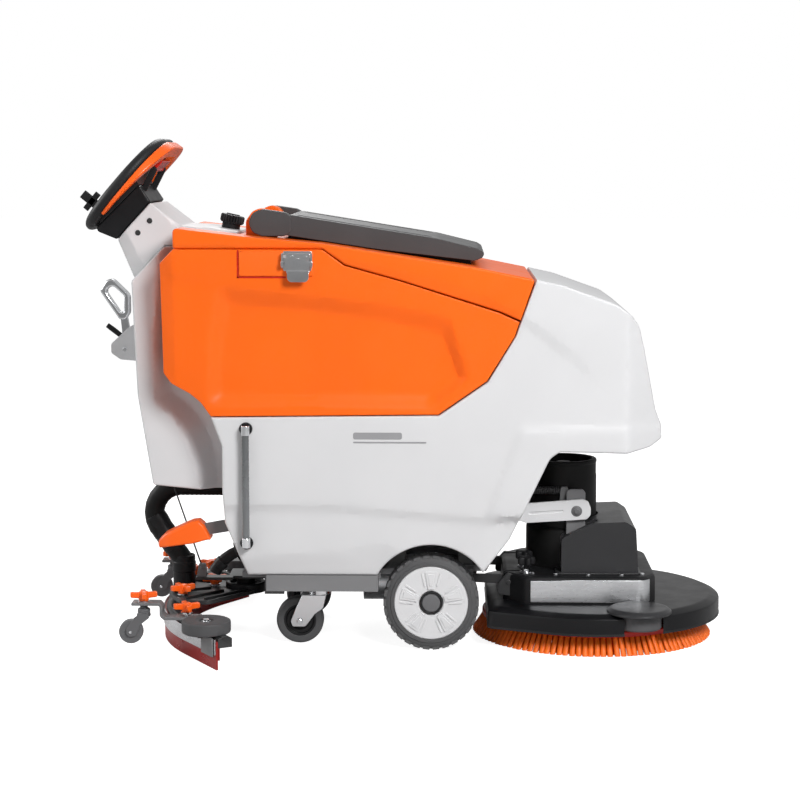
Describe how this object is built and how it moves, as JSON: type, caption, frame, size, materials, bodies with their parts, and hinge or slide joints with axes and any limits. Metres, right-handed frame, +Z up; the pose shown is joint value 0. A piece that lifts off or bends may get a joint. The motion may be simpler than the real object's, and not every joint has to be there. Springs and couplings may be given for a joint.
{
  "type": "walk-behind floor scrubber dryer",
  "caption": "Walk-behind floor scrubber dryer with a disc brush deck, curved rear squeegee, ring handle, tanks, drive wheels and casters.",
  "frame": {"origin": "on the floor under the middle of the machine's length and width", "axes": "+X the way the machine travels, +Y its left side, +Z up"},
  "size_m": [1.3652, 0.7742, 1.0623],
  "materials": {
    "body_white": "satin moulded polyethylene",
    "body_orange": "satin moulded polyethylene, fine speckle",
    "lid_grey": "satin grained plastic",
    "black_plastic": "satin moulded plastic",
    "dark_plastic": "satin moulded plastic",
    "orange_plastic": "moulded nylon",
    "red_plastic": "moulded nylon",
    "frame_steel": "powder coat",
    "black_steel": "powder coat",
    "white_steel": "powder coat",
    "zinc": "bright zinc plate",
    "cast_alloy": "brushed casting",
    "stainless": "brushed",
    "grey_plastic": "moulded plastic",
    "rim_white": "moulded plastic",
    "tyre": "moulded rubber",
    "grey_rubber": "moulded rubber",
    "black_rubber": "moulded rubber",
    "blade_red": "polyurethane, slightly translucent",
    "bristle": "polypropylene bristle",
    "clear_tube": "clear PVC hose"
  },
  "bodies": {
    "chassis": {"chassis_frame": "frame_steel", "solution_tank": "body_white", "battery_pack": "black_plastic", "transaxle": "cast_alloy", "vacuum_motor": "stainless", "recovery_tank": "body_orange", "rear_column": "body_white", "console_neck": "body_white", "console_housing": "black_plastic", "control_panel": "black_plastic", "handle_ring": "black_plastic", "handle_insert": "orange_plastic", "body_screws": "zinc", "sight_gauge": "clear_tube", "solution_filter": "black_plastic", "suction_hose": "black_rubber", "latch_plates": "zinc", "lever_bracket": "frame_steel"},
    "cover": {"recovery_cover": "body_orange", "lid_gasket": "black_rubber"},
    "lid": {"lid": "lid_grey"},
    "latch_right": {"latch_right": "zinc"},
    "latch_left": {"latch_left": "zinc"},
    "filler_cap": {"filler_cap": "black_plastic"},
    "drive_paddle": {"drive_paddle": "red_plastic"},
    "start_key": {"start_key": "black_plastic"},
    "emergency_stop": {"emergency_stop": "red_plastic"},
    "brush_button": {"brush_button": "grey_plastic"},
    "vacuum_button": {"vacuum_button": "grey_plastic"},
    "lift_lever": {"lift_lever": "zinc"},
    "lift_cable": {"lift_cable": "black_plastic"},
    "squeegee_arm": {"squeegee_arm": "black_steel"},
    "squeegee": {"squeegee_frame": "black_steel", "squeegee_straps": "stainless", "squeegee_blades": "blade_red", "squeegee_knobs": "orange_plastic"},
    "bumper_wheel_right": {"bumper_wheel_right": "grey_rubber"},
    "bumper_wheel_left": {"bumper_wheel_left": "grey_rubber"},
    "guide_fork_right": {"guide_fork_right": "grey_plastic"},
    "guide_fork_left": {"guide_fork_left": "grey_plastic"},
    "guide_wheel_right": {"guide_wheel_right": "grey_plastic"},
    "guide_wheel_left": {"guide_wheel_left": "grey_plastic"},
    "wheel_right": {"drive_rim_right": "rim_white", "drive_tyre_right": "tyre"},
    "wheel_left": {"drive_rim_left": "rim_white", "drive_tyre_left": "tyre"},
    "caster_right": {"caster_fork_right": "zinc"},
    "caster_left": {"caster_fork_left": "zinc"},
    "caster_wheel_right": {"caster_wheel_right": "grey_rubber"},
    "caster_wheel_left": {"caster_wheel_left": "grey_rubber"},
    "pedal": {"deck_pedal": "orange_plastic"},
    "deck_arm": {"deck_arm": "white_steel"},
    "deck_link": {"deck_link": "black_steel"},
    "deck": {"brush_deck": "dark_plastic", "deck_drive": "cast_alloy", "brush_motor": "black_plastic", "motor_cover": "dark_plastic"},
    "bumper_roller": {"bumper_roller": "grey_rubber"},
    "brush": {"brush_disc": "black_plastic", "brush_bristles": "bristle"}
  },
  "joints": [
    {"name": "cover_hinge", "type": "hinge", "parent": "chassis", "child": "cover", "pos_m": [-0.47072, 0, 0.838], "axis": [0, -1, 0], "range_deg": [0, 45]},
    {"name": "lid_hinge", "type": "hinge", "parent": "cover", "child": "lid", "pos_m": [-0.29472, 0, 0.889], "axis": [0, -1, 0], "range_deg": [0, 85]},
    {"name": "latch_turn_right", "type": "hinge", "parent": "chassis", "child": "latch_right", "pos_m": [-0.21672, -0.254, 0.823], "axis": [-1, 0, 0], "range_deg": [0, 110]},
    {"name": "latch_turn_left", "type": "hinge", "parent": "chassis", "child": "latch_left", "pos_m": [-0.21672, 0.254, 0.823], "axis": [1, 0, 0], "range_deg": [0, 110]},
    {"name": "cap_turn", "type": "hinge", "parent": "chassis", "child": "filler_cap", "pos_m": [-0.37672, 0, 0.877], "axis": [0.2079, 0, 0.9781], "range_deg": [0, 90]},
    {"name": "paddle_squeeze", "type": "hinge", "parent": "chassis", "child": "drive_paddle", "pos_m": [-0.53302, 0, 0.99701], "axis": [0, -1, 0], "range_deg": [0, 12]},
    {"name": "key_turn", "type": "hinge", "parent": "chassis", "child": "start_key", "pos_m": [-0.638, -0.072, 0.91007], "axis": [-0.7683, 0, 0.6401], "range_deg": [0, 90]},
    {"name": "stop_press", "type": "slide", "parent": "chassis", "child": "emergency_stop", "axis": [0.7683, 0, -0.6401], "range_m": [0, 0.006]},
    {"name": "brush_button_press", "type": "slide", "parent": "chassis", "child": "brush_button", "axis": [0.7683, 0, -0.6401], "range_m": [0, 0.0025]},
    {"name": "vacuum_button_press", "type": "slide", "parent": "chassis", "child": "vacuum_button", "axis": [0.7683, 0, -0.6401], "range_m": [0, 0.0025]},
    {"name": "squeegee_lift", "type": "hinge", "parent": "chassis", "child": "squeegee_arm", "pos_m": [-0.28272, 0, 0.105], "axis": [0, 1, 0], "range_deg": [0, 12], "deforming": ["suction_hose"]},
    {"name": "lift_lever_turn", "type": "hinge", "parent": "chassis", "child": "lift_lever", "pos_m": [-0.60672, 0, 0.612], "axis": [0, -1, 0], "range_deg": [0, 75]},
    {"name": "lift_cable_pull", "type": "slide", "parent": "chassis", "child": "lift_cable", "axis": [-0.3177, 0, 0.9482], "range_m": [0, 0.034]},
    {"name": "squeegee_yaw", "type": "hinge", "parent": "squeegee_arm", "child": "squeegee", "pos_m": [-0.35172, 0, 0.095], "axis": [0, 0, 1], "range_deg": [-15, 15]},
    {"name": "bumper_wheel_spin_right", "type": "hinge", "parent": "squeegee", "child": "bumper_wheel_right", "pos_m": [-0.39972, -0.331, 0.078], "axis": [0, 0, 1], "continuous": true},
    {"name": "guide_swivel_right", "type": "hinge", "parent": "squeegee", "child": "guide_fork_right", "pos_m": [-0.54172, -0.228, 0.095], "axis": [0, 0, 1], "continuous": true},
    {"name": "guide_wheel_spin_right", "type": "hinge", "parent": "guide_fork_right", "child": "guide_wheel_right", "pos_m": [-0.56872, -0.228, 0.043], "axis": [0, 1, 0], "continuous": true},
    {"name": "wheel_spin_right", "type": "hinge", "parent": "chassis", "child": "wheel_right", "pos_m": [0.05528, -0.18, 0.1], "axis": [0, 1, 0], "continuous": true},
    {"name": "caster_swivel_right", "type": "hinge", "parent": "chassis", "child": "caster_right", "pos_m": [-0.18072, -0.135, 0.115], "axis": [0, 0, 1], "continuous": true},
    {"name": "caster_spin_right", "type": "hinge", "parent": "caster_right", "child": "caster_wheel_right", "pos_m": [-0.22272, -0.135, 0.05], "axis": [0, 1, 0], "continuous": true},
    {"name": "bumper_wheel_spin_left", "type": "hinge", "parent": "squeegee", "child": "bumper_wheel_left", "pos_m": [-0.39972, 0.331, 0.078], "axis": [0, 0, 1], "continuous": true},
    {"name": "guide_swivel_left", "type": "hinge", "parent": "squeegee", "child": "guide_fork_left", "pos_m": [-0.54172, 0.228, 0.095], "axis": [0, 0, 1], "continuous": true},
    {"name": "guide_wheel_spin_left", "type": "hinge", "parent": "guide_fork_left", "child": "guide_wheel_left", "pos_m": [-0.56872, 0.228, 0.043], "axis": [0, 1, 0], "continuous": true},
    {"name": "wheel_spin_left", "type": "hinge", "parent": "chassis", "child": "wheel_left", "pos_m": [0.05528, 0.18, 0.1], "axis": [0, 1, 0], "continuous": true},
    {"name": "caster_swivel_left", "type": "hinge", "parent": "chassis", "child": "caster_left", "pos_m": [-0.18072, 0.135, 0.115], "axis": [0, 0, 1], "continuous": true},
    {"name": "caster_spin_left", "type": "hinge", "parent": "caster_left", "child": "caster_wheel_left", "pos_m": [-0.22272, 0.135, 0.05], "axis": [0, 1, 0], "continuous": true},
    {"name": "deck_lift", "type": "hinge", "parent": "chassis", "child": "deck_arm", "pos_m": [0.22428, 0, 0.282], "axis": [0, -1, 0], "range_deg": [0, 21]},
    {"name": "deck_link_swing", "type": "hinge", "parent": "chassis", "child": "deck_link", "pos_m": [0.09228, 0, 0.134], "axis": [0, -1, 0], "range_deg": [0, 21]},
    {"name": "deck_level", "type": "hinge", "parent": "deck_arm", "child": "deck", "pos_m": [0.36228, 0, 0.278], "axis": [0, 1, 0], "range_deg": [0, 21]},
    {"name": "pedal_press", "type": "hinge", "parent": "chassis", "child": "pedal", "pos_m": [-0.35572, 0, 0.256], "axis": [0, -1, 0], "range_deg": [0, 13.05]},
    {"name": "brush_spin", "type": "hinge", "parent": "deck", "child": "brush", "pos_m": [0.40228, 0, 0.04], "axis": [0, 0, 1], "continuous": true},
    {"name": "bumper_roller_spin", "type": "hinge", "parent": "deck", "child": "bumper_roller", "pos_m": [0.48528, -0.233, 0.07], "axis": [0, 0, 1], "continuous": true}
  ],
  "couplings": [
    {"joint": "lift_lever_turn", "follows": "squeegee_lift", "ratio": 6.25},
    {"joint": "lift_cable_pull", "follows": "squeegee_lift", "m_per_rad": 0.16153},
    {"joint": "deck_link_swing", "follows": "deck_lift", "ratio": 1},
    {"joint": "deck_level", "follows": "deck_lift", "ratio": 1},
    {"joint": "pedal_press", "follows": "deck_lift", "ratio": 0.62}
  ]
}
